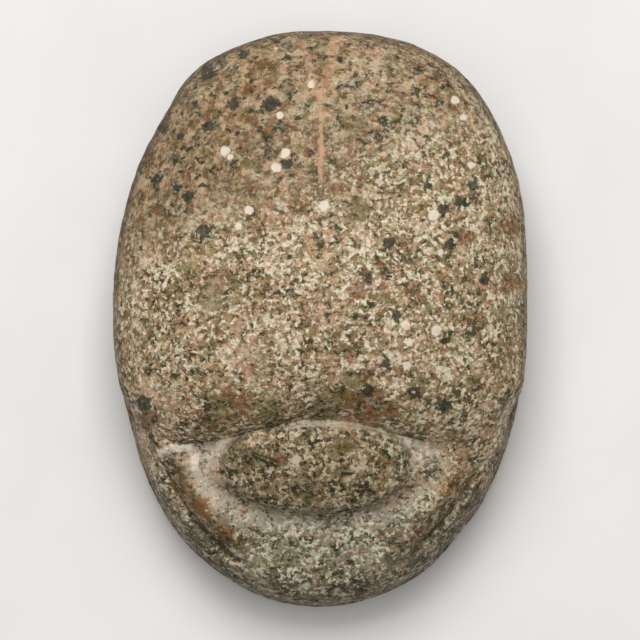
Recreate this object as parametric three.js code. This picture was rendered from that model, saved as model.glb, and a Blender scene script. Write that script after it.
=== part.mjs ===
import * as THREE from "three";

// A scarab amulet carved from one piece of mottled stone, in millimetres.
// The head points to -Y, the tail to +Y, and the flat underside lies on z = 0.

// Overall size
const LENGTH = 56.1;
const WIDTH = 40.2;
const HEIGHT = 21.5;

// Plan outline: a blunt tail half and a narrower head half that meet where the body is widest
const WIDEST_Y = 0.2;
const TAIL_POWER = 2.45;
const HEAD_POWER = 2.1;
const TAIL_LEAN = 0.65; // the tail stands this far to the +X side of the head
const LEAN_FROM_Y = 2;
const LEAN_TO_Y = 18;
// Worn flats and fuller places of the outline, at so many degrees round the body
const OUTLINE_WEAR = [
  { at: 59, reach: 18, out: 0.25 },
  { at: 118, reach: 12, out: 0.3 },
  { at: 131, reach: 14, out: -0.25 },
  { at: -58, reach: 10, out: -0.2 },
  { at: -150, reach: 28, out: -0.3 },
];

// Back: one smooth undivided dome, flatter towards the head than towards the flanks
const DOME_POWER = 2.4;
const DOME_EDGE_Z = 9.9;
const DOME_EDGE_TILT = 0.045; // the edge drops by this much per mm towards the tail
const DOME_FRONT_DROP = 0.4;
const DOME_FRONT_POWER = 2.2;
const DOME_LIP_POWER = 11; // higher is a tighter turn down to the head
const FORELEG_GAP = 1.65; // how far the dome draws in above the forelegs
const FORELEG_FROM_Y = -5.5;
const FORELEG_TO_Y = -12.5;

// Line across the body where the dome ends and the head begins
const HEAD_LINE_Y = -12;
const HEAD_LINE_BOW = 0.0028;
const HEAD_ARCH = 1.8;
const HEAD_ARCH_SPREAD = 6.4;
const HEAD_LINE_DIP = 0.4;
const HEAD_LINE_DIP_REACH = 1;
const HEAD_LINE_DIP_FROM_X = 16;
const HEAD_LINE_DIP_TO_X = 13;

// Nose plate, a slope that turns over into the edge of the plinth
const PLINTH_Z = 3.6;
const PLINTH_LEDGE = 0.2;
const NOSE_BACK_Y = -10;
const NOSE_BACK_Z = 16.2;
const NOSE_SLOPE = 0.4;
const NOSE_CROWN = 0.009;
const NOSE_ROUND = 3.4;

// Shoulder ridge, groove and foreleg rim, as distances in from the outline
const SHOULDER_FROM_X = 6;
const SHOULDER_TO_X = 9.5;
const SHOULDER_FROM_Y = -12.3;
const SHOULDER_TO_Y = -15.5;
const RIDGE = { at: 3.95, spread: 0.55, relief: 0.45 };
const GROOVE = { at: 2.35, spread: 0.45, relief: -0.75 };
const RIM = { at: 1.4, spread: 0.5, relief: 0.3 };

// Head boss, a lens with a fuller back half, and the channel around it
const BOSS_X = -0.4;
const BOSS_Y = -14.4;
const BOSS_HALF_WIDTH = 9.4;
const BOSS_HALF_DEPTH = 4.4;
const BOSS_BACK_POWER = 3;
const BOSS_FRONT_POWER = 2;
const BOSS_EDGE = 0.9;
const BOSS_STEP = 0.9;
const BOSS_SWELL = 1;
const CHANNEL_DEPTH = 0.45;
const CHANNEL_AT = 1;
const CHANNEL_SPREAD = 0.9;

// Flanks: a recess under the dome with plain legs in low relief above the plinth
const BROW_FROM_Y = -6;
const BROW_TO_Y = -12.5;
const RECESS = 1.7;
const LEG_RELIEF = 0.95;
const LEG_HALF_WIDTH = 1.7;
const LEGS = [
  { fromY: -5, fromZ: 7.7, toY: 6.5, toZ: 5.6 },
  { fromY: 9, fromZ: 7.5, toY: 20, toZ: 5.4 },
];
const FLANK_PATH = 7;
const FOOT_CHAMFER = 0.4;

// Fineness of the faceting
const RAYS_HEAD = 80;
const RAYS_TAIL = 66;
const SHOULDER_CROWDING = 0.4; // how much closer the rays stand where the dome meets the shoulders
const DOME_RINGS = 12;
const BOSS_RINGS = 6;
const CHANNEL_RINGS = 3;
const SLOPE_RINGS = 2;
const FLANK_RINGS = 5;
const RINGS_BELOW = BOSS_RINGS + 1 + CHANNEL_RINGS + SLOPE_RINGS + 1 + FLANK_RINGS;
const CLOSEST_RINGS = 0.12;

const clampShare = (t) => Math.min(1, Math.max(0, t));
const mix = (a, b, share) => a + (b - a) * share;
const hump = (value, at, spread) => Math.exp(-(((value - at) / spread) ** 2));

// Rises smoothly from 0 to 1 as the value goes from one mark to the other
function ease(from, to, value) {
  const t = clampShare((value - from) / (to - from));
  return t * t * (3 - 2 * t);
}

// The radius, between a place where a test holds and one where it fails, at which it stops holding
function turningRadius(holds, inside, outside) {
  let near = inside;
  let far = outside;
  for (let halving = 0; halving < 30; halving += 1) {
    const middle = (near + far) / 2;
    if (holds(middle)) near = middle;
    else far = middle;
  }
  return near;
}

function wearOf(angle) {
  const degrees = (angle * 180) / Math.PI;
  let out = 0;
  for (const wear of OUTLINE_WEAR) {
    const away = Math.abs(((degrees - wear.at + 540) % 360) - 180);
    out += wear.out * ease(wear.reach, 0, away);
  }
  return out;
}

function outlineRadius(angle) {
  const tail = Math.sin(angle) >= 0;
  const power = tail ? TAIL_POWER : HEAD_POWER;
  const reach = LENGTH / 2 + (tail ? -WIDEST_Y : WIDEST_Y);
  const across = (Math.abs(Math.cos(angle)) / (WIDTH / 2)) ** power;
  const along = (Math.abs(Math.sin(angle)) / reach) ** power;
  return (across + along) ** (-1 / power) + wearOf(angle);
}

const headLine = (x) => HEAD_LINE_Y - HEAD_LINE_BOW * x * x + HEAD_ARCH * hump(x, 0, HEAD_ARCH_SPREAD);

// The dome falls away to its edge on the flanks, and turns down over a soft lip to the head
function domeHeight(ray, radius) {
  const x = radius * ray.cos;
  const y = WIDEST_Y + radius * ray.sin;
  const edge = ray.outline - FORELEG_GAP * ease(FORELEG_FROM_Y, FORELEG_TO_Y, y);
  const side = radius / edge;
  const front = clampShare((WIDEST_Y - y) / (WIDEST_Y - headLine(x)));
  const foot = DOME_EDGE_Z - DOME_EDGE_TILT * y;
  const sideFall = (1 - clampShare(side) ** DOME_POWER) ** (1 / DOME_POWER);
  const lip = Math.sqrt(1 - front ** DOME_LIP_POWER);
  const frontFall = (1 - DOME_FRONT_DROP * front ** DOME_FRONT_POWER) * lip;
  const beyond = Math.max(0, radius - edge);
  return mix(foot, HEIGHT, sideFall * frontFall) - beyond * HEIGHT;
}

// 0 in the middle of the head boss, 1 on its rim
function bossShare(x, y) {
  const power = y > BOSS_Y ? BOSS_BACK_POWER : BOSS_FRONT_POWER;
  const across = (Math.abs(x - BOSS_X) / BOSS_HALF_WIDTH) ** power;
  const along = (Math.abs(y - BOSS_Y) / BOSS_HALF_DEPTH) ** power;
  return (across + along) ** (1 / power);
}

function bossRelief(x, y) {
  const share = bossShare(x, y);
  const boss = ease(1, BOSS_EDGE, share) * (BOSS_STEP + BOSS_SWELL * (1 - share * share));
  const outside = (share - 1) * (BOSS_HALF_DEPTH + 1);
  return boss - CHANNEL_DEPTH * hump(outside, CHANNEL_AT, CHANNEL_SPREAD);
}

function shoulderRelief(x, y, inward) {
  const relief = (band) => band.relief * hump(inward, band.at, band.spread);
  const sideways = ease(SHOULDER_FROM_X, SHOULDER_TO_X, Math.abs(x));
  const strength = sideways * ease(SHOULDER_FROM_Y, SHOULDER_TO_Y, y);
  return strength * (relief(RIDGE) + relief(GROOVE) + relief(RIM));
}

// 0 at the plinth and 1 on the nose plate, this far in from the outline
function noseTurn(inward) {
  const toGo = clampShare(1 - (inward - PLINTH_LEDGE) / NOSE_ROUND);
  return (1 - toGo ** DOME_POWER) ** 0.45;
}

function noseHeight(x, y, inward) {
  const slope = NOSE_SLOPE * (Math.min(y, HEAD_LINE_Y + HEAD_ARCH) - NOSE_BACK_Y);
  return mix(PLINTH_Z, NOSE_BACK_Z + slope - NOSE_CROWN * x * x, noseTurn(inward));
}

function headHeight(ray, radius) {
  const x = radius * ray.cos;
  const y = WIDEST_Y + radius * ray.sin;
  const inward = ray.outline - radius;
  const ahead = Math.max(0, headLine(x) - y);
  const depth = HEAD_LINE_DIP * ease(HEAD_LINE_DIP_FROM_X, HEAD_LINE_DIP_TO_X, Math.abs(x));
  const dip = depth * hump(ahead, 0, HEAD_LINE_DIP_REACH);
  return noseHeight(x, y, inward) + shoulderRelief(x, y, inward) + bossRelief(x, y) - dip;
}

// How much a leg stands out at this place of the flank
function legRelief(y, z) {
  let relief = 0;
  for (const leg of LEGS) {
    const alongY = leg.toY - leg.fromY;
    const alongZ = leg.toZ - leg.fromZ;
    const reached = ((y - leg.fromY) * alongY + (z - leg.fromZ) * alongZ) / (alongY ** 2 + alongZ ** 2);
    const share = clampShare(reached);
    const away = Math.hypot(y - leg.fromY - share * alongY, z - leg.fromZ - share * alongZ);
    relief = Math.max(relief, LEG_RELIEF * ease(LEG_HALF_WIDTH, LEG_HALF_WIDTH * 0.4, away));
  }
  return relief;
}

// The radius at which a ray leaves the head boss, or passes closest to it
function bossRadius(ray) {
  const share = (radius) => bossShare(radius * ray.cos, WIDEST_Y + radius * ray.sin);
  let closest = ray.dome;
  for (let radius = ray.dome; radius < ray.brow; radius += 0.1) {
    if (share(radius) < share(closest)) closest = radius;
  }
  return share(closest) < 1 ? turningRadius((r) => share(r) < 1, closest, ray.brow) : closest;
}

// A ray leaves the top of the back at this angle, and knows where it meets each edge
function rayAt(angle) {
  const ray = { cos: Math.cos(angle), sin: Math.sin(angle), outline: outlineRadius(angle) };
  ray.head = ease(BROW_FROM_Y, BROW_TO_Y, WIDEST_Y + ray.outline * ray.sin);
  ray.brow = ray.outline - RIM.at * ray.head;
  const onDome = (radius) => domeHeight(ray, radius) > headHeight(ray, radius);
  ray.dome = turningRadius(onDome, 0, ray.brow);
  ray.boss = bossRadius(ray);
  return ray;
}

function place(ray, radius, z) {
  const y = WIDEST_Y + radius * ray.sin;
  const lean = TAIL_LEAN * ease(LEAN_FROM_Y, LEAN_TO_Y, y);
  return [radius * ray.cos + lean, y, z];
}

function domePoint(ray, step) {
  const share = step / DOME_RINGS;
  const overFlank = Math.sin((share * Math.PI) / 2) ** (2 / DOME_POWER);
  const overHead = 1 - (1 - share) ** 1.5;
  const radius = ray.dome * mix(overFlank, overHead, ease(0, -0.8, ray.sin));
  return place(ray, radius, domeHeight(ray, radius));
}

// From the brow, share 0, down to the top of the plinth, share 1
function flankPoint(ray, share) {
  const y = WIDEST_Y + ray.outline * ray.sin;
  const browZ = Math.max(domeHeight(ray, ray.brow), headHeight(ray, ray.brow));
  const recess = RECESS * ease(0, 0.25, share) * ease(1, 0.86, share);
  const proud = legRelief(y, mix(browZ, PLINTH_Z, share));
  const sideInset = Math.max(0, recess - proud) + PLINTH_LEDGE * share;
  const noseInset = mix(PLINTH_LEDGE, RIM.at, (1 - share) ** 1.6);
  const left = mix(1 - share, noseTurn(noseInset) / noseTurn(RIM.at), ray.head);
  const inset = mix(sideInset, noseInset, ray.head);
  return place(ray, ray.outline - inset, mix(PLINTH_Z, browZ, left));
}

// A point some way along the path from the dome's edge out over the head and down the flank
function pointBelow(ray, way) {
  const ledge = ray.brow - ray.dome;
  if (way < ledge) return place(ray, ray.dome + way, headHeight(ray, ray.dome + way));
  return flankPoint(ray, clampShare((way - ledge) / FLANK_PATH));
}

// Ways along that path at which the rings lie: on the edges of the head, and even down a flank
function waysBelow(ray) {
  const marks = [
    { radius: ray.boss - 0.45, rings: BOSS_RINGS },
    { radius: ray.boss, rings: 1 },
    { radius: ray.outline - RIDGE.at, rings: CHANNEL_RINGS },
    { radius: ray.outline - GROOVE.at, rings: SLOPE_RINGS },
    { radius: ray.brow, rings: 1 },
  ];
  const ledge = ray.brow - ray.dome;
  const closest = mix(FLANK_PATH / RINGS_BELOW, CLOSEST_RINGS, ease(0, 8, ledge));
  const ways = [];
  let before = 0;
  for (const mark of marks) {
    const way = Math.max(before + closest * mark.rings, mark.radius - ray.dome);
    for (let ring = 1; ring <= mark.rings; ring += 1) ways.push(mix(before, way, ring / mark.rings));
    before = way;
  }
  for (let ring = 1; ring <= FLANK_RINGS; ring += 1) {
    ways.push(mix(before, ledge + FLANK_PATH, ring / FLANK_RINGS));
  }
  return ways;
}

function raysAround() {
  const rays = [];
  for (let i = 0; i < RAYS_TAIL; i += 1) rays.push(rayAt((i / RAYS_TAIL) * Math.PI));
  for (let i = 0; i < RAYS_HEAD; i += 1) {
    const turn = (i / RAYS_HEAD) * Math.PI;
    rays.push(rayAt(Math.PI + turn + (SHOULDER_CROWDING / 4) * Math.sin(4 * turn)));
  }
  return rays;
}

function ringsOf(rays) {
  const rings = [];
  for (let step = 1; step <= DOME_RINGS; step += 1) rings.push(rays.map((ray) => domePoint(ray, step)));
  const ways = rays.map(waysBelow);
  for (let ring = 0; ring < RINGS_BELOW; ring += 1) {
    rings.push(rays.map((ray, i) => pointBelow(ray, ways[i][ring])));
  }
  rings.push(rays.map((ray) => place(ray, ray.outline, PLINTH_Z - FOOT_CHAMFER)));
  rings.push(rays.map((ray) => place(ray, ray.outline, FOOT_CHAMFER)));
  rings.push(rays.map((ray) => place(ray, ray.outline - FOOT_CHAMFER, 0)));
  return rings;
}

// Two faces that fill four corners, parted along the shorter diagonal
function fourCorners(points, upper, lower, lowerNext, upperNext) {
  const span = (a, b) => Math.hypot(...points[a].map((value, axis) => value - points[b][axis]));
  if (span(upper, lowerNext) < span(lower, upperNext)) {
    return [upper, lower, lowerNext, upper, lowerNext, upperNext];
  }
  return [upper, lower, upperNext, lower, lowerNext, upperNext];
}

// One closed skin: a fan at the top, a net of rings, and a flat fan underneath
function skinOf(rings) {
  const around = rings[0].length;
  const points = [[0, WIDEST_Y, HEIGHT], ...rings.flat(), [0, WIDEST_Y, 0]];
  const bottom = points.length - 1;
  const faces = [];
  for (let i = 0; i < around; i += 1) {
    const next = (i + 1) % around;
    faces.push([0, 1 + i, 1 + next]);
    for (let ring = 0; ring < rings.length - 1; ring += 1) {
      const upper = 1 + ring * around;
      const lower = upper + around;
      faces.push(fourCorners(points, upper + i, lower + i, lower + next, upper + next));
    }
    const last = 1 + (rings.length - 1) * around;
    faces.push([bottom, last + next, last + i]);
  }
  const geometry = new THREE.BufferGeometry();
  geometry.setAttribute("position", new THREE.Float32BufferAttribute(points.flat(), 3));
  geometry.setIndex(faces.flat());
  geometry.computeVertexNormals();
  return geometry;
}

const stone = new THREE.MeshStandardMaterial({ color: 0x8c7c64, roughness: 0.72, metalness: 0 });

const scarab = new THREE.Mesh(skinOf(ringsOf(raysAround())), stone);
scarab.name = "scarab";

const amulet = new THREE.Group();
amulet.name = "scarab_amulet";
amulet.add(scarab);

export default amulet;
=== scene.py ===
"""The look of a scarab amulet carved from mottled stone, in metres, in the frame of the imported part."""

import math

import bmesh
import bpy
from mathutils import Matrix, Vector, noise


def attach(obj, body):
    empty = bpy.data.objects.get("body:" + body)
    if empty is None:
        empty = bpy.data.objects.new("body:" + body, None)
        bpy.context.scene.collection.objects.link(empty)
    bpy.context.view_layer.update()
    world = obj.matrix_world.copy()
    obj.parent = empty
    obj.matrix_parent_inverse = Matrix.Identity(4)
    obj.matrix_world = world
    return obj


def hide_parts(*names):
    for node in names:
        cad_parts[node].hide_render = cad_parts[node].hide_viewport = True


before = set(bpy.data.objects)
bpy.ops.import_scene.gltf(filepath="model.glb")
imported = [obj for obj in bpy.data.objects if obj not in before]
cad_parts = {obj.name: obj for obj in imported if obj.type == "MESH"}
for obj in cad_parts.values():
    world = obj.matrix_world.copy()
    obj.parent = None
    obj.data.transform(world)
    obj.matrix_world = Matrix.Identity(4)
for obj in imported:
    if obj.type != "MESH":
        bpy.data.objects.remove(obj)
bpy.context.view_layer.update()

MM = 0.001

# Camera and picture
CAMERA_AIM = (0.0, 0.0, 6.0)  # mm; the outline stands at about this height
CAMERA_DISTANCE = 700.0  # mm above the aim, looking straight down with the tail at the top
PICTURE_WIDTH = 62.44  # mm across the picture at the aim
SENSOR_WIDTH = 36.0

# Studio: place and size of each light in mm, and its power in watts
KEY_LIGHT = ((-15.0, 250.0, 430.0), 260.0, 1.6)
TOP_LIGHT = ((-20.0, 60.0, 600.0), 400.0, 0.8)
SURROUND_COLOUR = (1.0, 0.99, 0.97, 1.0)
SURROUND_STRENGTH = 0.32
FLOOR_HALF_WIDTH = 2.0  # m
FLOOR_PATCHES = 0.02  # m

# Overall size of the amulet, mm
LENGTH = 56.1
WIDTH = 40.2
HEIGHT = 21.5

# Plan outline
WIDEST_Y = 0.2
TAIL_POWER = 2.45
HEAD_POWER = 2.1
TAIL_LEAN = 0.65
LEAN_FROM_Y, LEAN_TO_Y = 2.0, 18.0
OUTLINE_WEAR = (  # degrees round the body, reach in degrees, mm outwards
    (59, 18, 0.25),
    (118, 12, 0.3),
    (131, 14, -0.25),
    (-58, 10, -0.2),
    (-150, 28, -0.3),
)

# Back
DOME_POWER = 2.4
DOME_EDGE_Z = 9.9
DOME_EDGE_TILT = 0.045
DOME_FRONT_DROP = 0.4
DOME_FRONT_POWER = 2.2
DOME_LIP_POWER = 11
FORELEG_GAP = 1.65
FORELEG_FROM_Y, FORELEG_TO_Y = -5.5, -12.5

# Line between the back and the head
HEAD_LINE_Y = -12.0
HEAD_LINE_BOW = 0.0028
HEAD_ARCH = 1.8
HEAD_ARCH_SPREAD = 6.4
HEAD_LINE_DIP = 0.4
DIP_REACH = 1.0
DIP_FROM_X, DIP_TO_X = 16.0, 13.0

# Nose plate
PLINTH_Z = 3.6
PLINTH_LEDGE = 0.2
NOSE_BACK_Y = -10.0
NOSE_BACK_Z = 16.2
NOSE_SLOPE = 0.4
NOSE_CROWN = 0.009
NOSE_ROUND = 3.4
NOSE_TURN_POWER = 0.45

# Bands along the shoulders: mm in from the outline, spread, relief
SHOULDER_FROM_X, SHOULDER_TO_X = 6.0, 9.5
SHOULDER_FROM_Y, SHOULDER_TO_Y = -12.3, -15.5
RIDGE = (3.95, 0.55, 0.45)
GROOVE = (2.35, 0.45, -0.75)
RIM = (1.4, 0.5, 0.3)

# Head boss and the channel round it
BOSS_X, BOSS_Y = -0.4, -14.4
BOSS_HALF_WIDTH = 9.4
BOSS_HALF_DEPTH = 4.4
BOSS_BACK_POWER = 3
BOSS_FRONT_POWER = 2
BOSS_EDGE = 0.9
BOSS_STEP = 0.9
BOSS_SWELL = 1.0
CHANNEL_DEPTH = 0.45
CHANNEL_AT = 1.0
CHANNEL_SPREAD = 0.9

# Flanks
BROW_FROM_Y, BROW_TO_Y = -6.0, -12.5
RECESS = 1.7
RECESS_TOP = (0.0, 0.25)  # shares of the way down the flank
RECESS_FOOT = (1.0, 0.86)
LEG_RELIEF = 0.95
LEG_HALF_WIDTH = 1.7
LEG_FLAT_SHARE = 0.4
LEGS = (((-5.0, 7.7), (6.5, 5.6)), ((9.0, 7.5), (20.0, 5.4)))  # (y, z) of both ends
FLANK_PATH = 7.0
FOOT_CHAMFER = 0.4

# Worn raised edges with a painted highlight, as paths in plan: round the end of the shoulder
# ridge on the beetle's right, and behind the boss on its left, where the edge is fainter
CAPS = (
    ((-15.3, -12.9), (-14.4, -12.4), (-12.6, -12.4), (-12.1, -12.9), (-12.1, -14.2)),
    ((8.2, -11.3), (9.8, -12.1), (10.9, -13.2)),
)
CAP_WIDTH = (0.55, 0.2)
CAP_RELIEF = 0.12
LEFT_CAP = 0.4

# Soil and painted shade near the outline: its reach inwards, mm, and where it sets in and is at its
# widest
SHADE_SOIL_REACH_BACK = 0.9
SHADE_SOIL_REACH_RIGHT = 2.8
SHADE_SOIL_REACH_LEFT = 4.2
SHADE_SOIL_FULL = 0.4
SHADE_SOIL_Z = (HEIGHT, 12.0)
SHADE_SOIL_NOSE_Y = (-19.0, -24.0)
SHADE_SOIL_ASIDE = (4.0, 10.0)
SHADE_SOIL_LEFT_Y = (-12.5, -15.0)
SHADE_SOIL_RIGHT_Y = (-15.0, -18.0)
SHADE_SOIL_WIDENING_X = (2.0, 8.0)
# Painted shade on the low sides under the edge of the back: heights, mm, where it sets in and is full
LOW_SIDE_SHADE_Z = (9.6, 8.0)

# Marks on the head: bands as place and spread, mm in from the outline or out from the boss,
# and where each mark sets in and is at its strongest
HEAD_FOOT_Z = (2.5, 4.5)
STRIP_BAND = (3.65, 0.8)
STRIP_Y = (-12.0, -13.4)
GROOVE_BAND = (2.5, 0.28)
RIM_BAND = (1.6, 0.5)
LEFT_BANDS = 0.9  # the bands are a little fainter on the beetle's left
CHANNEL_BAND = (1.0, 1.2)
CHANNEL_RIM = (0.7, 1.6)
CHANNEL_ASIDE = (3.0, 8.0)
CHANNEL_FAINT = 0.5
BEHIND_BOSS_Y = (BOSS_Y + 2, BOSS_Y + 4)
BOSS_COVER = (1.02, 0.94)
# Painted highlight along the back rim of the boss, where it faces the light
BOSS_HIGHLIGHT_BAND = (0.1, 0.4)
BOSS_HIGHLIGHT_Y = (BOSS_Y + 0.5, BOSS_Y + 3)
# Soil and painted shade at the front foot of the boss and along the head line
BOSS_FOOT_SHADE_SOIL = (0.2, 0.3)
BOSS_FOOT_SHADE_SOIL_Y = (BOSS_Y + 0.8, BOSS_Y - 1.2)
LINE_SHADE_SOIL = (0.1, 0.5)
LINE_SHADE_SOIL_ASIDE = (7.5, 10.0)
LINE_SHADE_SOIL_SHARE = 0.4

# Net of the skin: rays round the body, and rings from the top of the back to the underside
RAYS = 520
RAY_EVENING = 0.08  # spreads the rays where the body is narrow
HEAD_RING_POWER = 1.5  # crowds the rings of the back towards the head line
NOSE_RING_POWER = 1.6  # crowds the rings of the nose's flank towards the plinth
CLOSEST_RINGS = 0.03  # mm apart, where many rings share a narrow ledge
BOSS_EDGE_WIDTH = 0.45  # mm, over which the edge of the boss has rings of its own
BOSS_SEARCH_STEP = 0.1
DOME_RINGS = 76
BOSS_RINGS = 22
BOSS_EDGE_RINGS = 4
CHANNEL_RINGS = 14
SLOPE_RINGS = 10
RIM_RINGS = 6
FLANK_RINGS = 30
PLINTH_RINGS = 10
CHAMFER_RINGS = 3
UNDER_RINGS = 6
RINGS = (
    DOME_RINGS
    + BOSS_RINGS
    + BOSS_EDGE_RINGS
    + CHANNEL_RINGS
    + SLOPE_RINGS
    + RIM_RINGS
    + FLANK_RINGS
    + PLINTH_RINGS
    + CHAMFER_RINGS
    + UNDER_RINGS
)

# Uneven hand-worked surface: size of the unevenness and its height, mm
UNEVENNESS = ((7.0, 0.10), (2.4, 0.07), (1.1, 0.05), (0.6, 0.03))
PIT_SIZE = 1.3
PIT_DEPTH = 0.16
PIT_LEVEL = (0.34, 0.59)
PIT_SHIFT = (31.0, 7.0, 3.0)
CHANNEL_CALM = 0.6  # share that is rubbed away in the channel
EVEN_FOOT = 1.2  # the height over which it grows in above the underside

# Chips on the outline: degrees round the body, height, radius and depth, mm
CHIPS = (
    (-39.0, 6.0, 1.1, 0.35),
    (-54.5, 6.5, 1.3, 0.3),
    (-61.5, 5.0, 1.2, 0.3),
    (-143.0, 6.0, 1.0, 0.2),
    (24.0, 9.0, 1.2, 0.2),
)


def clamp_share(t):
    return min(1.0, max(0.0, t))


def mix(a, b, share):
    return a + (b - a) * share


def hump(value, at, spread):
    return math.exp(-(((value - at) / spread) ** 2))


def ease(start, end, value):
    """Rises smoothly from 0 to 1 as the value goes from start to end."""
    t = clamp_share((value - start) / (end - start))
    return t * t * (3 - 2 * t)


def degrees_away(angle, at):
    """Degrees, the shorter way round, from an angle in radians to a place in degrees."""
    return abs((math.degrees(angle) - at + 540) % 360 - 180)


def line_distance(point, start, end):
    """Distance from a point to the straight line between two others, all in one plane."""
    along = (end[0] - start[0], end[1] - start[1])
    aside = (point[0] - start[0], point[1] - start[1])
    reached = aside[0] * along[0] + aside[1] * along[1]
    share = clamp_share(reached / (along[0] ** 2 + along[1] ** 2))
    return math.hypot(aside[0] - share * along[0], aside[1] - share * along[1])


def turning_radius(holds, inside, outside):
    """The radius between two places at which a test stops holding."""
    near, far = inside, outside
    for _ in range(26):
        middle = (near + far) / 2
        if holds(middle):
            near = middle
        else:
            far = middle
    return near


def outline_radius(angle):
    tail = math.sin(angle) >= 0
    power = TAIL_POWER if tail else HEAD_POWER
    reach = LENGTH / 2 + (-WIDEST_Y if tail else WIDEST_Y)
    across = (abs(math.cos(angle)) / (WIDTH / 2)) ** power
    along = (abs(math.sin(angle)) / reach) ** power
    radius = (across + along) ** (-1 / power)
    for at, spread, out in OUTLINE_WEAR:
        radius += out * ease(spread, 0, degrees_away(angle, at))
    return radius


def head_line(x):
    return HEAD_LINE_Y - HEAD_LINE_BOW * x * x + HEAD_ARCH * hump(x, 0, HEAD_ARCH_SPREAD)


def boss_share(x, y):
    """0 in the middle of the head boss, 1 on its rim."""
    power = BOSS_BACK_POWER if y > BOSS_Y else BOSS_FRONT_POWER
    across = (abs(x - BOSS_X) / BOSS_HALF_WIDTH) ** power
    along = (abs(y - BOSS_Y) / BOSS_HALF_DEPTH) ** power
    return (across + along) ** (1 / power)


def outside_boss(x, y):
    """Distance out from the rim of the boss, roughly in mm."""
    return (boss_share(x, y) - 1) * (BOSS_HALF_DEPTH + 1)


def boss_relief(x, y):
    share = boss_share(x, y)
    boss = ease(1, BOSS_EDGE, share) * (BOSS_STEP + BOSS_SWELL * (1 - share * share))
    return boss - CHANNEL_DEPTH * hump(outside_boss(x, y), CHANNEL_AT, CHANNEL_SPREAD)


def shoulder_strength(x, y):
    """1 beside the head, where the ridge, the groove and the rim run, and 0 in front of it."""
    return ease(SHOULDER_FROM_X, SHOULDER_TO_X, abs(x)) * ease(SHOULDER_FROM_Y, SHOULDER_TO_Y, y)


def shoulder_relief(x, y, inward):
    bands = sum(relief * hump(inward, at, spread) for at, spread, relief in (RIDGE, GROOVE, RIM))
    return shoulder_strength(x, y) * bands


def nose_turn(inward):
    """0 at the plinth and 1 on the nose plate, this far in from the outline."""
    to_go = clamp_share(1 - (inward - PLINTH_LEDGE) / NOSE_ROUND)
    return (1 - to_go**DOME_POWER) ** NOSE_TURN_POWER


def nose_height(x, y, inward):
    slope = NOSE_SLOPE * (min(y, HEAD_LINE_Y + HEAD_ARCH) - NOSE_BACK_Y)
    return mix(PLINTH_Z, NOSE_BACK_Z + slope - NOSE_CROWN * x * x, nose_turn(inward))


def leg_relief(y, z):
    """How much a leg stands out at this place of a flank."""
    away = min(line_distance((y, z), start, end) for start, end in LEGS)
    return LEG_RELIEF * ease(LEG_HALF_WIDTH, LEG_HALF_WIDTH * LEG_FLAT_SHARE, away)


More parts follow.
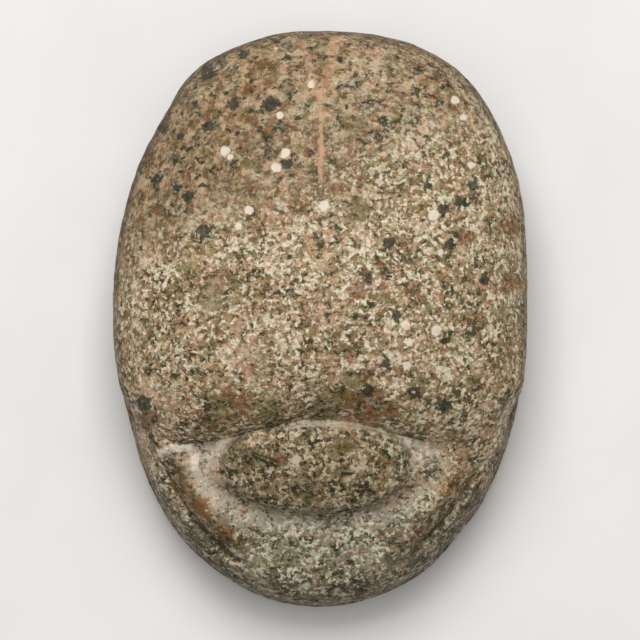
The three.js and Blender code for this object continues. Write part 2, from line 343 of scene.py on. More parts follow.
class Ray:
    """One line over the skin, from the top of the back down to the underside."""

    def __init__(self, angle):
        self.cos, self.sin = math.cos(angle), math.sin(angle)
        self.outline = outline_radius(angle)
        self.head = ease(BROW_FROM_Y, BROW_TO_Y, WIDEST_Y + self.outline * self.sin)
        self.brow = self.outline - RIM[0] * self.head
        self.dome = turning_radius(
            lambda radius: self.dome_height(radius) > self.head_height(radius), 0.0, self.brow
        )
        self.boss = self.boss_radius()
        self.ways = self.ways_below()

    def plan(self, radius):
        return radius * self.cos, WIDEST_Y + radius * self.sin

    def dome_height(self, radius):
        x, y = self.plan(radius)
        edge = self.outline - FORELEG_GAP * ease(FORELEG_FROM_Y, FORELEG_TO_Y, y)
        front = clamp_share((WIDEST_Y - y) / (WIDEST_Y - head_line(x)))
        foot = DOME_EDGE_Z - DOME_EDGE_TILT * y
        side_fall = (1 - clamp_share(radius / edge) ** DOME_POWER) ** (1 / DOME_POWER)
        lip = math.sqrt(1 - front**DOME_LIP_POWER)
        front_fall = (1 - DOME_FRONT_DROP * front**DOME_FRONT_POWER) * lip
        return mix(foot, HEIGHT, side_fall * front_fall) - max(0.0, radius - edge) * HEIGHT

    def head_height(self, radius):
        x, y = self.plan(radius)
        inward = self.outline - radius
        depth = HEAD_LINE_DIP * ease(DIP_FROM_X, DIP_TO_X, abs(x))
        dip = depth * hump(max(0.0, head_line(x) - y), 0, DIP_REACH)
        return nose_height(x, y, inward) + shoulder_relief(x, y, inward) + boss_relief(x, y) - dip

    def boss_radius(self):
        """The radius at which the ray leaves the head boss, or passes closest to it."""
        closest, radius = self.dome, self.dome
        while radius < self.brow:
            if boss_share(*self.plan(radius)) < boss_share(*self.plan(closest)):
                closest = radius
            radius += BOSS_SEARCH_STEP
        if boss_share(*self.plan(closest)) >= 1:
            return closest
        return turning_radius(lambda r: boss_share(*self.plan(r)) < 1, closest, self.brow)

    def ways_below(self):
        """Ways past the edge of the back at which the rings lie, from edge to edge."""
        marks = (
            (self.boss - BOSS_EDGE_WIDTH, BOSS_RINGS),
            (self.boss, BOSS_EDGE_RINGS),
            (self.outline - RIDGE[0], CHANNEL_RINGS),
            (self.outline - GROOVE[0], SLOPE_RINGS),
            (self.brow, RIM_RINGS),
        )
        below = sum(rings for _, rings in marks) + FLANK_RINGS
        ledge = self.brow - self.dome
        closest = mix(FLANK_PATH / below, CLOSEST_RINGS, ease(0, 8, ledge))
        ways, before = [], 0.0
        for radius, rings in marks:
            way = max(before + closest * rings, radius - self.dome)
            ways += [mix(before, way, ring / rings) for ring in range(1, rings + 1)]
            before = way
        end = ledge + FLANK_PATH
        return ways + [mix(before, end, ring / FLANK_RINGS) for ring in range(1, FLANK_RINGS + 1)]

    def dome_place(self, ring):
        share = ring / DOME_RINGS
        over_flank = math.sin(share * math.pi / 2) ** (2 / DOME_POWER)
        over_head = 1 - (1 - share) ** HEAD_RING_POWER
        radius = self.dome * mix(over_flank, over_head, ease(0, -0.8, self.sin))
        return radius, self.dome_height(radius)

    def flank_place(self, share):
        """From the brow, share 0, down to the top of the plinth, share 1."""
        y = WIDEST_Y + self.outline * self.sin
        brow_z = max(self.dome_height(self.brow), self.head_height(self.brow))
        recess = RECESS * ease(*RECESS_TOP, share) * ease(*RECESS_FOOT, share)
        proud = leg_relief(y, mix(brow_z, PLINTH_Z, share))
        side_inset = max(0.0, recess - proud) + PLINTH_LEDGE * share
        nose_inset = mix(PLINTH_LEDGE, RIM[0], (1 - share) ** NOSE_RING_POWER)
        left = mix(1 - share, nose_turn(nose_inset) / nose_turn(RIM[0]), self.head)
        inset = mix(side_inset, nose_inset, self.head)
        return self.outline - inset, mix(PLINTH_Z, brow_z, left)

    def foot_place(self, ring):
        """Down the plinth, round its lower edge and in under the body."""
        if ring <= PLINTH_RINGS:
            return self.outline, mix(PLINTH_Z, FOOT_CHAMFER, ring / PLINTH_RINGS)
        ring -= PLINTH_RINGS
        if ring <= CHAMFER_RINGS:
            turn = ring / CHAMFER_RINGS * math.pi / 2
            return (
                self.outline - FOOT_CHAMFER * (1 - math.cos(turn)),
                FOOT_CHAMFER * (1 - math.sin(turn)),
            )
        share = (ring - CHAMFER_RINGS) / UNDER_RINGS
        return (self.outline - FOOT_CHAMFER) * (1 - share), 0.0

    def place(self, ring):
        """Radius and height, mm, where a ring of the net crosses the ray."""
        if ring <= DOME_RINGS:
            return self.dome_place(ring)
        below = ring - DOME_RINGS
        if below > len(self.ways):
            return self.foot_place(below - len(self.ways))
        way, ledge = self.ways[below - 1], self.brow - self.dome
        if way < ledge:
            return self.dome + way, self.head_height(self.dome + way)
        return self.flank_place(clamp_share((way - ledge) / FLANK_PATH))


# What skin_masks tells of each place of the net
MASKS = ("channel", "strip", "groove", "rim", "boss", "boss_rim_highlight", "crease", "cap", "edge", "low_side_shade")


def cap_distance(x, y):
    """Distance, mm, to the nearest worn raised edge beside the head."""
    lines = [line for path in CAPS for line in zip(path, path[1:])]
    return min(line_distance((x, y), start, end) for start, end in lines)


def shade_and_soil_reach(x, y):
    """How far in from the outline soil and painted shade darken the stone, mm; it reaches furthest round
    the nose.
    """
    nose = ease(*SHADE_SOIL_NOSE_Y, y)
    left = ease(*SHADE_SOIL_ASIDE, x) * ease(*SHADE_SOIL_LEFT_Y, y)
    right = ease(*SHADE_SOIL_ASIDE, -x) * ease(*SHADE_SOIL_RIGHT_Y, y)
    on_head = mix(SHADE_SOIL_REACH_RIGHT, SHADE_SOIL_REACH_LEFT, ease(*SHADE_SOIL_WIDENING_X, x))
    return mix(SHADE_SOIL_REACH_BACK, on_head, max(nose, left + right))


def rubbed_channel(x, y, inward, beyond):
    """How pale the channel is rubbed: most on the beetle's right, and least behind the boss."""
    band = hump(beyond, *CHANNEL_BAND) * ease(*CHANNEL_RIM, inward)
    to_right = mix(CHANNEL_FAINT, 1.0, ease(*CHANNEL_ASIDE, -x))
    behind = mix(1.0, CHANNEL_FAINT, ease(*BEHIND_BOSS_Y, y))
    return band * to_right * behind


def shaded_soiled_crease(x, y, beyond):
    """Soil and painted shade along the head line beside the boss, and at the foot of the boss in front.
    """
    along_line = hump(head_line(x) - y, *LINE_SHADE_SOIL) * ease(*LINE_SHADE_SOIL_ASIDE, abs(x))
    before_boss = hump(beyond, *BOSS_FOOT_SHADE_SOIL) * ease(*BOSS_FOOT_SHADE_SOIL_Y, y)
    return max(LINE_SHADE_SOIL_SHARE * along_line, before_boss)


def skin_masks(ray, ring, radius, z):
    """What the stone's surface is like at a place of the net, as shares from 0 to 1."""
    x, y = ray.plan(radius)
    inward = ray.outline - radius
    beyond = outside_boss(x, y)
    on_head = ease(DOME_RINGS - 1, DOME_RINGS + 1, ring) * ray.head * ease(*HEAD_FOOT_Z, z)
    beside = on_head * (1.0 if x < 0 else LEFT_BANDS)
    strip = beside * ease(SHOULDER_FROM_X, SHOULDER_TO_X, abs(x)) * ease(*STRIP_Y, y)
    shoulder = beside * shoulder_strength(x, y)
    worn_lit_cap = on_head * (1.0 if x < 0 else LEFT_CAP)
    return {
        "channel": on_head * rubbed_channel(x, y, inward, beyond),
        "strip": strip * hump(inward, *STRIP_BAND),
        # soil and painted shade in the shoulder groove
        "groove": shoulder * hump(inward, *GROOVE_BAND),
        "rim": shoulder * hump(inward, *RIM_BAND),
        "boss": on_head * ease(*BOSS_COVER, boss_share(x, y)),
        # painted highlight along the back rim of the boss
        "boss_rim_highlight": on_head * hump(beyond, *BOSS_HIGHLIGHT_BAND) * ease(*BOSS_HIGHLIGHT_Y, y),
        # soil and painted shade in the creases by the boss
        "crease": on_head * shaded_soiled_crease(x, y, beyond),
        # worn raised edges, painted paler as a highlight
        "cap": worn_lit_cap * ease(*CAP_WIDTH, cap_distance(x, y)),
        # soil and painted shade near the outline, growing in lower down the flank
        "edge": ease(shade_and_soil_reach(x, y), SHADE_SOIL_FULL, inward) * ease(*SHADE_SOIL_Z, z),
        # painted shade on the low sides under the edge of the back
        "low_side_shade": ease(*LOW_SIDE_SHADE_Z, z) * (1 - ray.head),
    }


def unevenness(point):
    """Height of the hand-worked surface's small relief at a point, mm."""
    height = 0.0
    for size, strength in UNEVENNESS:
        height += strength * noise.noise(point / size)
    pit = noise.noise(point / PIT_SIZE + Vector(PIT_SHIFT))
    return height - PIT_DEPTH * ease(*PIT_LEVEL, pit)


def chip_depth(angle, radius, z):
    depth = 0.0
    for at, chip_z, reach, deep in CHIPS:
        aside = math.radians(degrees_away(angle, at)) * radius
        depth += deep * ease(reach, 0.0, math.hypot(aside, z - chip_z))
    return depth


def net_index(co):
    """The ray and the ring that a point of the unit sphere stands for."""
    turn = math.atan2(co.y, co.x) / math.tau
    down = math.acos(max(-1.0, min(1.0, co.z))) / math.pi
    return round(turn * RAYS) % RAYS, round(down * RINGS)


def build_scarab():
    """The amulet as one closed net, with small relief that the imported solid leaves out."""
    mesh = bpy.data.meshes.new("scarab_stone")
    net = bmesh.new()
    bmesh.ops.create_uvsphere(net, u_segments=RAYS, v_segments=RINGS, radius=1.0)
    angles = [math.tau * i / RAYS for i in range(RAYS)]
    angles = [angle + RAY_EVENING * math.sin(2 * angle) for angle in angles]
    rays = [Ray(angle) for angle in angles]
    layers = {name: net.verts.layers.float.new(name) for name in MASKS}
    for vert in net.verts:
        ray_number, ring = net_index(vert.co)
        ray = rays[ray_number]
        radius, z = ray.place(ring)
        for name, value in skin_masks(ray, ring, radius, z).items():
            vert[layers[name]] = value
        x, y = ray.plan(radius)
        chip = chip_depth(angles[ray_number], radius, z)
        x -= chip * ray.cos
        y -= chip * ray.sin
        vert.co = Vector((x + TAIL_LEAN * ease(LEAN_FROM_Y, LEAN_TO_Y, y), y, z))
    net.normal_update()
    for vert in net.verts:
        calm = 1 - CHANNEL_CALM * vert[layers["channel"]]
        lift = unevenness(vert.co) * ease(0.0, EVEN_FOOT, vert.co.z) * calm
        lift += CAP_RELIEF * vert[layers["cap"]]
        vert.co += vert.normal * lift
    bmesh.ops.scale(net, vec=(MM, MM, MM), verts=net.verts)
    for face in net.faces:
        face.smooth = True
    net.to_mesh(mesh)
    net.free()
    scarab = bpy.data.objects.new("scarab_stone", mesh)
    bpy.context.scene.collection.objects.link(scarab)
    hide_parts("scarab")
    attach(scarab, "root")
    return scarab


def linear(*rgb):
    """A colour given as 0 to 255 steps of the screen, as linear light."""
    shares = [value / 255 for value in rgb]
    return (*[s / 12.92 if s <= 0.04045 else ((s + 0.055) / 1.055) ** 2.4 for s in shares], 1.0)


class Nodes:
    """Adds nodes to one node tree; an input may be a plain value or another node's output."""

    def __init__(self, tree):
        self.tree = tree

    def add(self, kind, inputs=None, **settings):
        node = self.tree.nodes.new(kind)
        for name, value in settings.items():
            setattr(node, name, value)
        for key, value in (inputs or {}).items():
            self.feed(node.inputs[key], value)
        return node

    def feed(self, socket, value):
        if isinstance(value, bpy.types.NodeSocket):
            self.tree.links.new(value, socket)
        else:
            socket.default_value = value

    def maths(self, operation, first, second=0.0, third=0.0, clamp=False):
        inputs = {0: first, 1: second, 2: third}
        node = self.add("ShaderNodeMath", inputs, operation=operation, use_clamp=clamp)
        return node.outputs[0]

    def product(self, first, *others):
        for other in others:
            first = self.maths("MULTIPLY", first, other)
        return first

    def scaled(self, vector, factor):
        node = self.add("ShaderNodeVectorMath", {0: vector, "Scale": factor}, operation="SCALE")
        return node.outputs[0]

    def smooth(self, value, start, end):
        """Rises smoothly from 0 to 1 as the value goes from start to end."""
        inputs = {"Value": value, "From Min": start, "From Max": end}
        node = self.add("ShaderNodeMapRange", inputs, interpolation_type="SMOOTHSTEP")
        return node.outputs["Result"]

    def noise(self, vector, size, detail=4.0, roughness=0.6, distortion=0.0):
        inputs = {"Vector": vector, "Scale": 1.0 / size, "Detail": detail}
        inputs |= {"Roughness": roughness, "Distortion": distortion}
        return self.add("ShaderNodeTexNoise", inputs).outputs["Fac"]

    def mixed(self, share, first, second, blend="MIX"):
        node = self.add("ShaderNodeMix", data_type="RGBA", blend_type=blend)
        sockets = [s for s in node.inputs if s.type == "RGBA"]
        self.feed(node.inputs["Factor"], share)
        self.feed(sockets[0], first)
        self.feed(sockets[1], second)
        return next(s for s in node.outputs if s.type == "RGBA")

    def ramp(self, value, *stops):
        node = self.add("ShaderNodeValToRGB", {"Fac": value})
        elements = node.color_ramp.elements
        while len(elements) < len(stops):
            elements.new(1.0)
        for element, (position, colour) in zip(elements, stops):
            element.position = position
            element.color = colour
        return node.outputs["Color"]

    def mask(self, name):
        node = self.add("ShaderNodeAttribute", attribute_type="GEOMETRY", attribute_name=name)
        return node.outputs["Fac"]


def new_group(name, inputs, outputs):
    """A shader node group with named sockets: its Nodes, what it is given and what it makes."""
    tree = bpy.data.node_groups.new(name, "ShaderNodeTree")
    kinds = {"value": "NodeSocketFloat", "vector": "NodeSocketVector"}
    for socket, kind in inputs:
        tree.interface.new_socket(name=socket, in_out="INPUT", socket_type=kinds[kind])
    for socket, kind in outputs:
        tree.interface.new_socket(name=socket, in_out="OUTPUT", socket_type=kinds[kind])
    nodes = Nodes(tree)
    return nodes, nodes.add("NodeGroupInput").outputs, nodes.add("NodeGroupOutput").inputs


def speck_group():
    """Mineral specks that cover a share of the stone, thicker in some places than others."""
    inputs = [
        ("Coordinates", "vector"),
        ("Grain", "value"),
        ("Detail", "value"),
        ("Level", "value"),
        ("Softness", "value"),
        ("Clump", "value"),
        ("Clumping", "value"),
        ("Branching", "value"),
    ]
    nodes, given, made = new_group("mineral_specks", inputs, [("Mask", "value")])
    scale = nodes.maths("DIVIDE", 1.0, given["Grain"])
    fine = nodes.add(
        "ShaderNodeTexNoise",
        {
            "Vector": given["Coordinates"],
            "Scale": scale,
            "Detail": given["Detail"],
            "Roughness": 0.62,
            "Distortion": given["Branching"],
        },
    ).outputs["Fac"]
    clump_scale = nodes.maths("DIVIDE", 1.0, given["Clump"])
    clump = nodes.add(
        "ShaderNodeTexNoise",
        {"Vector": given["Coordinates"], "Scale": clump_scale, "Detail": 2.0},
    ).outputs["Fac"]
    shift = nodes.maths("MULTIPLY", nodes.maths("SUBTRACT", clump, 0.5), given["Clumping"])
    level = nodes.maths("SUBTRACT", given["Level"], shift)
    low = nodes.maths("SUBTRACT", level, given["Softness"])
    high = nodes.maths("ADD", level, given["Softness"])
    nodes.feed(made["Mask"], nodes.smooth(fine, low, high))
    return nodes.tree


# Grains and stains that show one by one: x, y and radius, mm
WHITE_CRYSTALS = (
    (-0.8, 22.6, 0.4),
    (-3.8, 19.6, 0.35),
    (-9.1, 16.2, 0.5),
    (-8.6, 15.6, 0.3),
    (-3.3, 15.9, 0.5),
    (-4.2, 14.6, 0.5),
    (-6.8, 10.5, 0.45),
    (-7.8, 8.9, 0.35),
    (0.4, 10.9, 0.5),
    (13.0, 21.2, 0.45),
    (13.8, 19.5, 0.35),
    (14.5, 14.9, 0.35),
    (10.8, 10.0, 0.55),
    (11.5, 6.5, 0.3),
    (8.2, -0.5, 0.45),
    (11.1, -1.0, 0.55),
    (8.5, -2.2, 0.35),
    (8.3, -4.3, 0.4),
    (-2.3, -13.4, 0.45),
)
DARK_GRAINS = (
    (-10.7, 23.9, 0.8),
    (-7.4, 25.6, 0.5),
    (-8.3, 20.7, 0.6),
    (-4.8, 20.7, 0.8),
    (-10.7, 18.5, 0.6),
    (-13.4, 17.6, 0.4),
    (-15.2, 18.5, 0.5),
    (-3.2, 14.9, 0.5),
    (-15.7, 13.4, 0.6),
    (-12.7, 11.8, 0.6),
    (-11.1, 8.4, 0.7),
    (13.4, 11.3, 0.6),
    (11.8, 10.6, 0.6),
    (14.6, 12.9, 0.5),
    (12.4, 7.3, 0.5),
    (6.6, 7.3, 0.6),
    (15.8, 3.9, 0.6),
    (4.6, 3.9, 0.5),
    (7.4, 0.4, 0.5),
    (11.9, -2.0, 0.5),
    (6.3, -4.1, 0.6),
    (-16.9, -8.0, 0.8),
    (4.6, -6.8, 0.6),
    (9.0, -7.0, 0.7),
    (11.9, -8.2, 0.8),
)
PINK_STAINS = (
    (-17.0, -11.3, 0.8),
    (-17.4, -12.4, 0.5),
    (9.0, 7.5, 0.8),
    (-9.4, -14.6, 0.9),
    (-7.6, -18.6, 0.9),
)
DUSKY_STAINS = (
    (10.6, -14.6, 1.0),
    (-12.6, -20.0, 1.3),
    (-11.0, -22.0, 1.5),
    (-8.6, -24.2, 1.3),
    (-3.0, -25.8, 1.4),
    (3.5, -26.0, 1.4),
    (16.6, -14.4, 0.8),
    (15.0, -17.4, 1.3),
    (12.8, -20.6, 1.4),
    (9.6, -23.6, 1.3),
    (-15.4, -15.6, 0.9),
)
RUST_STAINS = (
    (-5.2, 24.7, 0.8),
    (-6.8, 22.2, 0.7),
    (-7.2, 19.3, 0.6),
    (-4.8, 18.0, 0.7),
    (-16.6, 15.5, 0.8),
    (-8.6, -8.2, 1.8),
    (4.6, -7.9, 1.9),
    (1.7, -12.4, 1.1),
    (-11.6, -18.0, 0.9),
    (-9.2, -21.0, 0.9),
    (-16.5, -9.8, 1.1),
    (-10.3, -9.6, 1.4),
    (-7.3, -8.0, 1.3),
    (2.6, -7.4, 1.2),
    (6.7, -8.8, 1.0),
    (-10.1, 3.7, 1.1),
    (18.5, 9.0, 1.1),
    (13.8, 7.9, 0.9),
    (6.0, 5.0, 0.8),
    (18.1, 3.5, 1.0),
    (3.6, 2.8, 0.9),
    (8.9, 2.9, 0.9),
    (2.9, -3.2, 0.9),
    (4.3, -5.4, 0.8),
    (-3.8, -13.4, 0.8),
    (2.2, -14.6, 0.8),
)
OLIVE_STAINS = (
    (-10.5, 2.0, 1.5),
    (3.4, 18.4, 1.6),
    (-9.3, -9.0, 1.6),
    (3.6, 10.6, 1.3),
    (17.3, 0.7, 1.0),
    (2.9, -5.9, 1.2),
    (1.0, -8.0, 1.8),
    (-4.8, -8.8, 1.3),
    (2.0, -12.2, 1.2),
    (-1.5, -16.0, 1.6),
    (-6.4, -13.4, 1.2),
)

# Veins: place across the body, mm aside per mm along, half width, start, end and strength
VEINS = (
    (0.05, 0.0, 0.22, 11.5, 22.2, 0.8),
    (0.1, 0.0, 0.38, 13.0, 16.3, 0.7),
    (-0.6, 0.26, 0.6, 18.5, 27.0, 0.5),
    (0.9, -0.33, 0.4, 18.5, 26.5, 0.4),
)

# Colours of the stone and of the floor under even light, as 0 to 255 steps of the screen
CREAM = linear(226, 208, 178)
CHALK = linear(232, 222, 204)
WHITE = linear(236, 224, 208)
PALE_BEIGE = linear(198, 176, 143)
BEIGE = linear(172, 149, 115)
TAN = linear(142, 118, 84)
BROWN = linear(106, 83, 52)
PINK = linear(196, 156, 130)
PALE_PINK = linear(192, 165, 133)
RUST = linear(122, 80, 46)
RUST_OCHRE = linear(134, 91, 50)
RUST_BROWN = linear(112, 70, 40)
DUSK = linear(76, 74, 60)
ORANGE = linear(168, 126, 80)
OLIVE = linear(116, 106, 62)
OLIVE_BROWN = linear(94, 80, 47)
DARK_OLIVE = linear(64, 56, 34)
BLACK_GREEN = linear(36, 42, 31)
MOSS = linear(50, 64, 46)
CHANNEL_GREY = linear(210, 197, 182)
STRIP_RUST = linear(134, 88, 44)
STRIP_OLIVE = linear(92, 82, 46)
RIM_GREY = linear(196, 182, 162)
# pale of worn edges, and of the painted highlights on raised edges and the boss's back rim
WORN_LIT_EDGE = linear(240, 230, 214)
RED_BROWN = linear(140, 100, 66)
COOL_GREY = linear(132, 132, 116)
VEIN_PINK = linear(200, 156, 124)
FLOOR_GREY = linear(232, 231, 229)
FLOOR_WHITE = linear(238, 237, 235)

# Where the stone changes in grain or colour: start and full strength, mm along or across
TAIL_END_Y = (4.0, 16.0)
BROWN_SIDE_X = (6.0, -8.0)
COARSE_SLANT = -0.35
COARSE_END = (9.0, 18.0)
GREEN_SIDE_X = (3.0, 11.0)
GREY_NOSE_Y = (-16.5, -19.5)

# Placed grains, stains and veins stay above this height, mm, which is lower on the head
TOP_SIDE_Z = (8.5, 10.5)
HEAD_LOWER = 4.5
HEAD_LOWER_Y = (-10.0, -14.0)

# Soft edges, in radii of a spot or half widths of a vein, and how a vein wanders and ends, mm
SPOT_EDGE = (1.15, 0.75)
VEIN_EDGE = (1.2, 0.5)
VEIN_WANDER = 0.8
VEIN_RISE = 3.0
VEIN_FALL = 1.0

# Fine grain of the surface, mm
BUMP_GRAIN = 0.35
BUMP_HEIGHT = 0.12

# Shares of light that a tint lets through, as red, green and blue
REDDISH = (1.0, 0.88, 0.83, 1.0)
GREENISH = (0.88, 1.0, 0.91, 1.0)
EVEN = (0.96, 0.95, 0.94, 1.0)
NOSE_TINT = (0.84, 0.90, 0.92, 1.0)
BOSS_TINT = (0.74, 0.74, 0.69, 1.0)
# darkening for soil and painted shade
SHADE_AND_SOIL_TINT = (0.40, 0.34, 0.25, 1.0)
# soil and painted shade in the shoulder groove
GROOVE_SHADE_AND_SOIL = (0.30, 0.20, 0.15, 1.0)


class Stone(Nodes):
    """Builds up the colour of the stone layer by layer; places are in mm on the amulet."""

    def __init__(self, tree):
        super().__init__(tree)
        self.specks = speck_group()
        object_space = self.add("ShaderNodeTexCoord").outputs["Object"]
        self.place = self.scaled(object_space, 1 / MM)
        parts = self.add("ShaderNodeSeparateXYZ", {0: self.place}).outputs
        self.across, self.along, self.up = parts
        self.masks = {name: self.mask(name) for name in MASKS}
        self.tone = self.noise(self.place, 0.75, detail=5.0, roughness=0.85)
        self.tint = self.noise(self.moved(40.0), 2.4, detail=4.0, roughness=0.6)
        self.flat_place = self.add(
            "ShaderNodeVectorMath", {0: self.place, 1: (1, 1, 0)}, operation="MULTIPLY"
        ).outputs[0]
        self.uneven = self.maths("SUBTRACT", self.noise(self.place, 0.5, 4.0, 0.65), 0.5)
        ragged = self.smooth(self.noise(self.moved(400.0), 0.6, 5.0, 0.75), 0.4, 0.56)
        self.ragged = self.maths("MULTIPLY_ADD", ragged, 0.7, 0.3)
        self.find_zones()
        self.stains = None
        self.colour = None

    def find_zones(self):
        """Wide parts of the stone that differ in grain or in colour, as shares from 0 to 1."""
        tail = self.smooth(self.along, *TAIL_END_Y)
        slanted = self.maths("MULTIPLY_ADD", self.across, COARSE_SLANT, self.along)
        self.brown_zone = self.product(self.smooth(self.across, *BROWN_SIDE_X), tail)
        self.coarse_zone = self.smooth(slanted, *COARSE_END)
        self.green_zone = self.smooth(self.across, *GREEN_SIDE_X)
        self.nose_zone = self.smooth(self.along, *GREY_NOSE_Y)
        self.fine = self.maths("MULTIPLY_ADD", self.coarse_zone, -0.6, 1.0)
        self.calm = self.maths("MULTIPLY_ADD", self.masks["channel"], -0.35, 1.0)
        on_head = self.smooth(self.along, *HEAD_LOWER_Y)
        above = self.maths("MULTIPLY_ADD", on_head, HEAD_LOWER, self.up)
        self.top_side = self.smooth(above, *TOP_SIDE_Z)

    def moved(self, offset):
        """The place shifted by an offset, so that each noise has a pattern of its own."""
        inputs = {0: self.place, 1: (offset, offset * 0.7, offset * 1.3)}
        return self.add("ShaderNodeVectorMath", inputs, operation="ADD").outputs[0]

    def specked(self, offset, **how):
        """Mineral specks in a pattern of their own, with the usual settings where none is given."""
        settings = {"Detail": 5.0, "Softness": 0.03, "Clump": 4.0, "Clumping": 0.2}
        settings |= {"Branching": 0.1, "Coordinates": self.moved(offset)} | how
        return self.grouped(self.specks, settings)

    def spots(self, places, raggedness):
        """Ragged grains or stains at places given as x, y and radius."""
        rough = self.maths("MULTIPLY", self.uneven, raggedness)
        nearest = 9.0  # radii, outside every spot
        for x, y, radius in places:
            inputs = {0: self.flat_place, 1: (x, y, 0.0)}
            away = self.add("ShaderNodeVectorMath", inputs, operation="DISTANCE")
            share = self.maths("MULTIPLY_ADD", away.outputs["Value"], 1 / radius, rough)
            nearest = self.maths("MINIMUM", nearest, share)
        return self.product(self.smooth(nearest, *SPOT_EDGE), self.top_side)

    def grouped(self, group, settings):
        node = self.add("ShaderNodeGroup", node_tree=group)
        for name, value in settings.items():
            self.feed(node.inputs[name], value)
        return node.outputs["Mask"]

    def paint(self, colour, *shares, blend="MIX"):
        """Lays a colour over the stone, as strongly as its shares multiplied."""
        self.colour = self.mixed(self.product(*shares), self.colour, colour, blend)


def lay_ground(stone):
    """Fine tones of beige with wide tints."""
    stone.colour = stone.ramp(
        stone.tone, (0.38, BROWN), (0.44, TAN), (0.50, BEIGE), (0.56, PALE_BEIGE), (0.64, CREAM)
    )
    stone.paint(PINK, stone.smooth(stone.tint, 0.52, 0.64), 0.5)
    stone.paint(OLIVE, stone.smooth(stone.tint, 0.49, 0.40), 0.5)
    stone.paint(RED_BROWN, stone.brown_zone, 0.35)
    stone.paint(COOL_GREY, stone.nose_zone, 0.45)
    blotch = stone.noise(stone.moved(60.0), 2.0, detail=3.0, roughness=0.6)
    stone.paint(BROWN, stone.smooth(blotch, 0.48, 0.62), 0.45)
    stone.paint(ORANGE, stone.specked(80.0, Grain=1.5, Level=0.6, Softness=0.05), 0.55)
    stone.paint(RUST, stone.specked(160.0, Grain=1.4, Level=0.62, Softness=0.05, Clump=8.0), 0.75)


def lay_carved_parts(stone):
    """The rubbed channel and rim, and the strip of rust along the shoulder ridge."""
    stone.paint(CHANNEL_GREY, stone.masks["channel"], 0.75)
    stone.paint(RIM_GREY, stone.masks["rim"], stone.ragged, 0.6)
    stone.paint(STRIP_RUST, stone.masks["strip"], 0.85)
    olive = stone.smooth(stone.noise(stone.moved(640.0), 1.4, 3.0), 0.52, 0.6)
    stone.paint(STRIP_OLIVE, stone.masks["strip"], olive, 0.8)


def lay_stains(stone):
    rust = stone.spots(RUST_STAINS, 2.4)
    olive = stone.spots(OLIVE_STAINS, 2.4)
    stone.stains = stone.maths("MAXIMUM", rust, olive)
    stone.paint(RUST_OCHRE, rust, 0.75)
    stone.paint(RUST_BROWN, rust, stone.smooth(stone.uneven, -0.02, 0.08), 0.7)
    stone.paint(OLIVE, olive, 0.65)
    stone.paint(PINK, stone.spots(PINK_STAINS, 2.2), 0.7)
    stone.paint(DUSK, stone.spots(DUSKY_STAINS, 2.8), 0.7)


def lay_dark_grains(stone):
    """Dark grains with olive brown round them; they crowd together in places."""
    field = stone.noise(stone.moved(240.0), 0.95, detail=6.0, roughness=0.78)
    crowd = stone.noise(stone.moved(260.0), 4.0, detail=3.0)
    extra = stone.maths("MULTIPLY", stone.brown_zone, 0.015)
    extra = stone.maths("MULTIPLY_ADD", stone.smooth(stone.along, -2.0, -9.0), 0.015, extra)
    extra = stone.maths("MULTIPLY_ADD", stone.masks["boss"], 0.03, extra)
    extra = stone.maths("MULTIPLY_ADD", stone.maths("SUBTRACT", crowd, 0.5), 0.26, extra)
    field = stone.maths("ADD", field, extra)
    grains = stone.smooth(field, 0.565, 0.605)
    grain_colour = stone.mixed(stone.green_zone, BLACK_GREEN, MOSS)
    stone.paint(OLIVE_BROWN, stone.smooth(field, 0.51, 0.57), stone.calm, 0.7)
    stone.paint(grain_colour, grains, stone.calm, stone.fine, 0.88)


def lay_coarse_grains(stone):
    """Larger and softer grains, which fill the tail end on the beetle's right."""
    zone = stone.coarse_zone
    soft = {"Detail": 3.0, "Softness": 0.04, "Clumping": 0.25}
    stone.paint(OLIVE_BROWN, stone.specked(440.0, Grain=1.1, Level=0.52, **soft), zone, 0.6)
    stone.paint(PALE_PINK, stone.specked(480.0, Grain=1.1, Level=0.55, **soft), zone, 0.65)
    stone.paint(RUST_BROWN, stone.specked(560.0, Grain=1.4, Level=0.60, **soft), zone, 0.75)
    stone.paint(BLACK_GREEN, stone.specked(520.0, Grain=0.9, Level=0.585, **soft), zone, 0.9)


def lay_crust(stone):
    """Dark pepper, and a pale crust that is thin over the stains and the brown parts."""
    pepper = stone.specked(280.0, Grain=0.42, Level=0.58, Branching=0.3)
    stone.paint(DARK_OLIVE, pepper, stone.fine, stone.calm, 0.85)
    spread = {"Clump": 2.8, "Clumping": 0.3, "Branching": 0.25}
    crust = stone.specked(320.0, Grain=0.5, Level=0.545, Softness=0.035, **spread)
    strength = stone.maths("MULTIPLY_ADD", stone.brown_zone, -0.5, 0.95)
    strength = stone.maths("MULTIPLY_ADD", stone.stains, -0.65, strength)
    strength = stone.maths("MULTIPLY_ADD", stone.masks["strip"], -0.7, strength, clamp=True)
    flecked = stone.smooth(stone.noise(stone.moved(360.0), 0.3, 3.0), 0.4, 0.6)
    stone.paint(stone.mixed(flecked, PALE_BEIGE, CHALK), crust, stone.calm, stone.fine, strength)


def lay_crystals(stone):
    stone.paint(BLACK_GREEN, stone.spots(DARK_GRAINS, 2.8), 0.85)
    stone.paint(WHITE, stone.specked(360.0, Grain=0.85, Level=0.685, Softness=0.02, Clumping=0.1), 0.7)
    stone.paint(WHITE, stone.spots(WHITE_CRYSTALS, 1.3), 0.85)


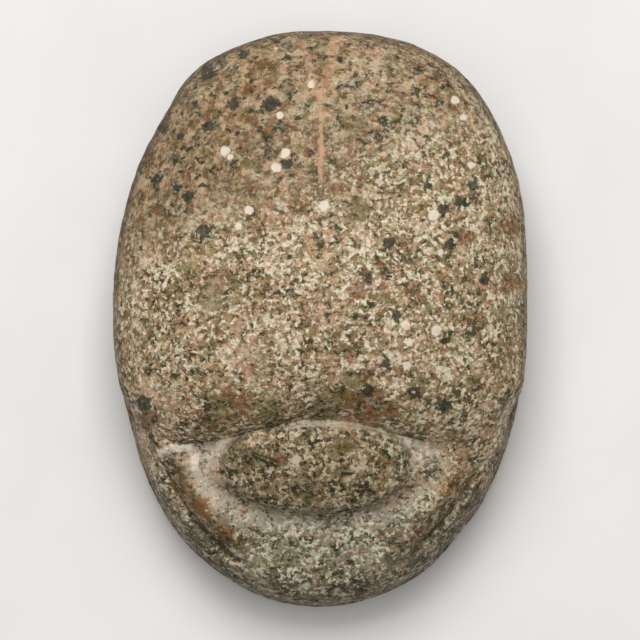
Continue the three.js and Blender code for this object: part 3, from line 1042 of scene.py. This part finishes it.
def lay_veins(stone):
    """Mineral veins along the body that slant across it and die out at both ends."""
    wander = stone.maths("SUBTRACT", stone.noise(stone.place, 3.0, 3.0), 0.5)
    across = stone.maths("MULTIPLY_ADD", wander, VEIN_WANDER, stone.across)
    broken = stone.smooth(stone.uneven, -0.12, 0.0)
    for x, slant, half_width, from_y, to_y, strength in VEINS:
        middle = stone.maths("MULTIPLY_ADD", stone.along, slant, x - slant * from_y)
        away = stone.maths("ABSOLUTE", stone.maths("SUBTRACT", across, middle))
        band = stone.smooth(away, *(edge * half_width for edge in VEIN_EDGE))
        rise = stone.smooth(stone.along, from_y, from_y + VEIN_RISE)
        fall = stone.smooth(stone.along, to_y + VEIN_FALL, to_y)
        stone.paint(VEIN_PINK, band, broken, rise, fall, stone.top_side, strength)


def lay_wear_soil_and_shade(stone):
    """Pale worn edges painted lighter as highlights, a painted highlight on the boss's back rim, soil and
    painted shade in the groove, the creases and near the outline, and painted shade on the low sides.
    """
    # painted highlight along the back rim of the boss
    stone.paint(WORN_LIT_EDGE, stone.masks["boss_rim_highlight"], stone.ragged, 0.9)
    # worn raised edges, painted paler as a highlight
    stone.paint(WORN_LIT_EDGE, stone.masks["cap"], stone.ragged)
    # soil and painted shade in the shoulder groove
    stone.paint(GROOVE_SHADE_AND_SOIL, stone.masks["groove"], 0.75, blend="MULTIPLY")
    # soil and painted shade in the creases by the boss
    stone.paint(SHADE_AND_SOIL_TINT, stone.masks["crease"], 0.6, blend="MULTIPLY")
    # soil and painted shade near the outline
    stone.paint(SHADE_AND_SOIL_TINT, stone.masks["edge"], stone.ragged, 0.9, blend="MULTIPLY")
    # painted shade on the low sides under the edge of the back
    stone.paint(SHADE_AND_SOIL_TINT, stone.masks["low_side_shade"], 0.5, blend="MULTIPLY")


def lay_tints(stone):
    """Small and wide shifts of hue over everything."""
    hue = stone.noise(stone.moved(700.0), 0.9, 4.0, 0.7)
    stone.paint(stone.ramp(hue, (0.38, GREENISH), (0.5, EVEN), (0.62, REDDISH)), 1.0, blend="MULTIPLY")
    stone.paint(NOSE_TINT, stone.nose_zone, blend="MULTIPLY")
    stone.paint(BOSS_TINT, stone.masks["boss"], blend="MULTIPLY")


def stone_material():
    material = bpy.data.materials.new("mottled_stone")
    material.use_nodes = True
    material.node_tree.nodes.clear()
    stone = Stone(material.node_tree)
    lay_ground(stone)
    lay_carved_parts(stone)
    lay_stains(stone)
    lay_dark_grains(stone)
    lay_coarse_grains(stone)
    lay_crust(stone)
    lay_crystals(stone)
    lay_veins(stone)
    lay_wear_soil_and_shade(stone)
    lay_tints(stone)

    height = stone.noise(stone.place, BUMP_GRAIN, detail=4.0, roughness=0.7)
    bump = stone.add("ShaderNodeBump", {"Strength": 0.5, "Distance": BUMP_HEIGHT * MM, "Height": height})
    surface = {
        "Base Color": stone.colour,
        "Roughness": stone.maths("MULTIPLY_ADD", stone.tone, 0.3, 0.5),
        "Specular IOR Level": 0.22,
        "Normal": bump.outputs["Normal"],
    }
    shader = stone.add("ShaderNodeBsdfPrincipled", surface)
    stone.add("ShaderNodeOutputMaterial", {"Surface": shader.outputs["BSDF"]})
    return material


def floor_material():
    material = bpy.data.materials.new("pale_floor")
    material.use_nodes = True
    nodes = Nodes(material.node_tree)
    shader = material.node_tree.nodes["Principled BSDF"]
    place = nodes.add("ShaderNodeTexCoord").outputs["Object"]
    tone = nodes.noise(place, FLOOR_PATCHES, detail=3.0)
    colour = nodes.ramp(tone, (0.3, FLOOR_GREY), (0.7, FLOOR_WHITE))
    nodes.feed(shader.inputs["Base Color"], colour)
    shader.inputs["Roughness"].default_value = 0.9
    return material


def make_camera():
    data = bpy.data.cameras.new("camera")
    data.sensor_width = SENSOR_WIDTH
    data.lens = SENSOR_WIDTH * CAMERA_DISTANCE / PICTURE_WIDTH
    data.clip_start = 0.05
    data.clip_end = 10.0
    camera = bpy.data.objects.new("camera", data)
    camera.location = Vector(CAMERA_AIM) * MM + Vector((0.0, 0.0, CAMERA_DISTANCE * MM))
    bpy.context.scene.collection.objects.link(camera)
    bpy.context.scene.camera = camera


def make_floor():
    mesh = bpy.data.meshes.new("floor")
    plane = bmesh.new()
    bmesh.ops.create_grid(plane, x_segments=1, y_segments=1, size=FLOOR_HALF_WIDTH)
    plane.to_mesh(mesh)
    plane.free()
    floor = bpy.data.objects.new("floor", mesh)
    mesh.materials.append(floor_material())
    bpy.context.scene.collection.objects.link(floor)


def soft_light(name, place, size, watts):
    """A square soft light at a place in mm, aimed at the amulet."""
    data = bpy.data.lights.new(name, "AREA")
    data.size = size * MM
    data.energy = watts
    light = bpy.data.objects.new(name, data)
    light.location = Vector(place) * MM
    light.rotation_mode = "QUATERNION"
    light.rotation_quaternion = (Vector(CAMERA_AIM) * MM - light.location).to_track_quat("-Z", "Y")
    bpy.context.scene.collection.objects.link(light)


def make_lights():
    soft_light("key", *KEY_LIGHT)
    soft_light("top", *TOP_LIGHT)
    world = bpy.data.worlds.new("studio")
    world.use_nodes = True
    background = world.node_tree.nodes["Background"]
    background.inputs["Color"].default_value = SURROUND_COLOUR
    background.inputs["Strength"].default_value = SURROUND_STRENGTH
    bpy.context.scene.world = world
    bpy.context.scene.view_settings.view_transform = "Standard"
    bpy.context.scene.view_settings.look = "None"


make_camera()
make_lights()
make_floor()
build_scarab().data.materials.append(stone_material())
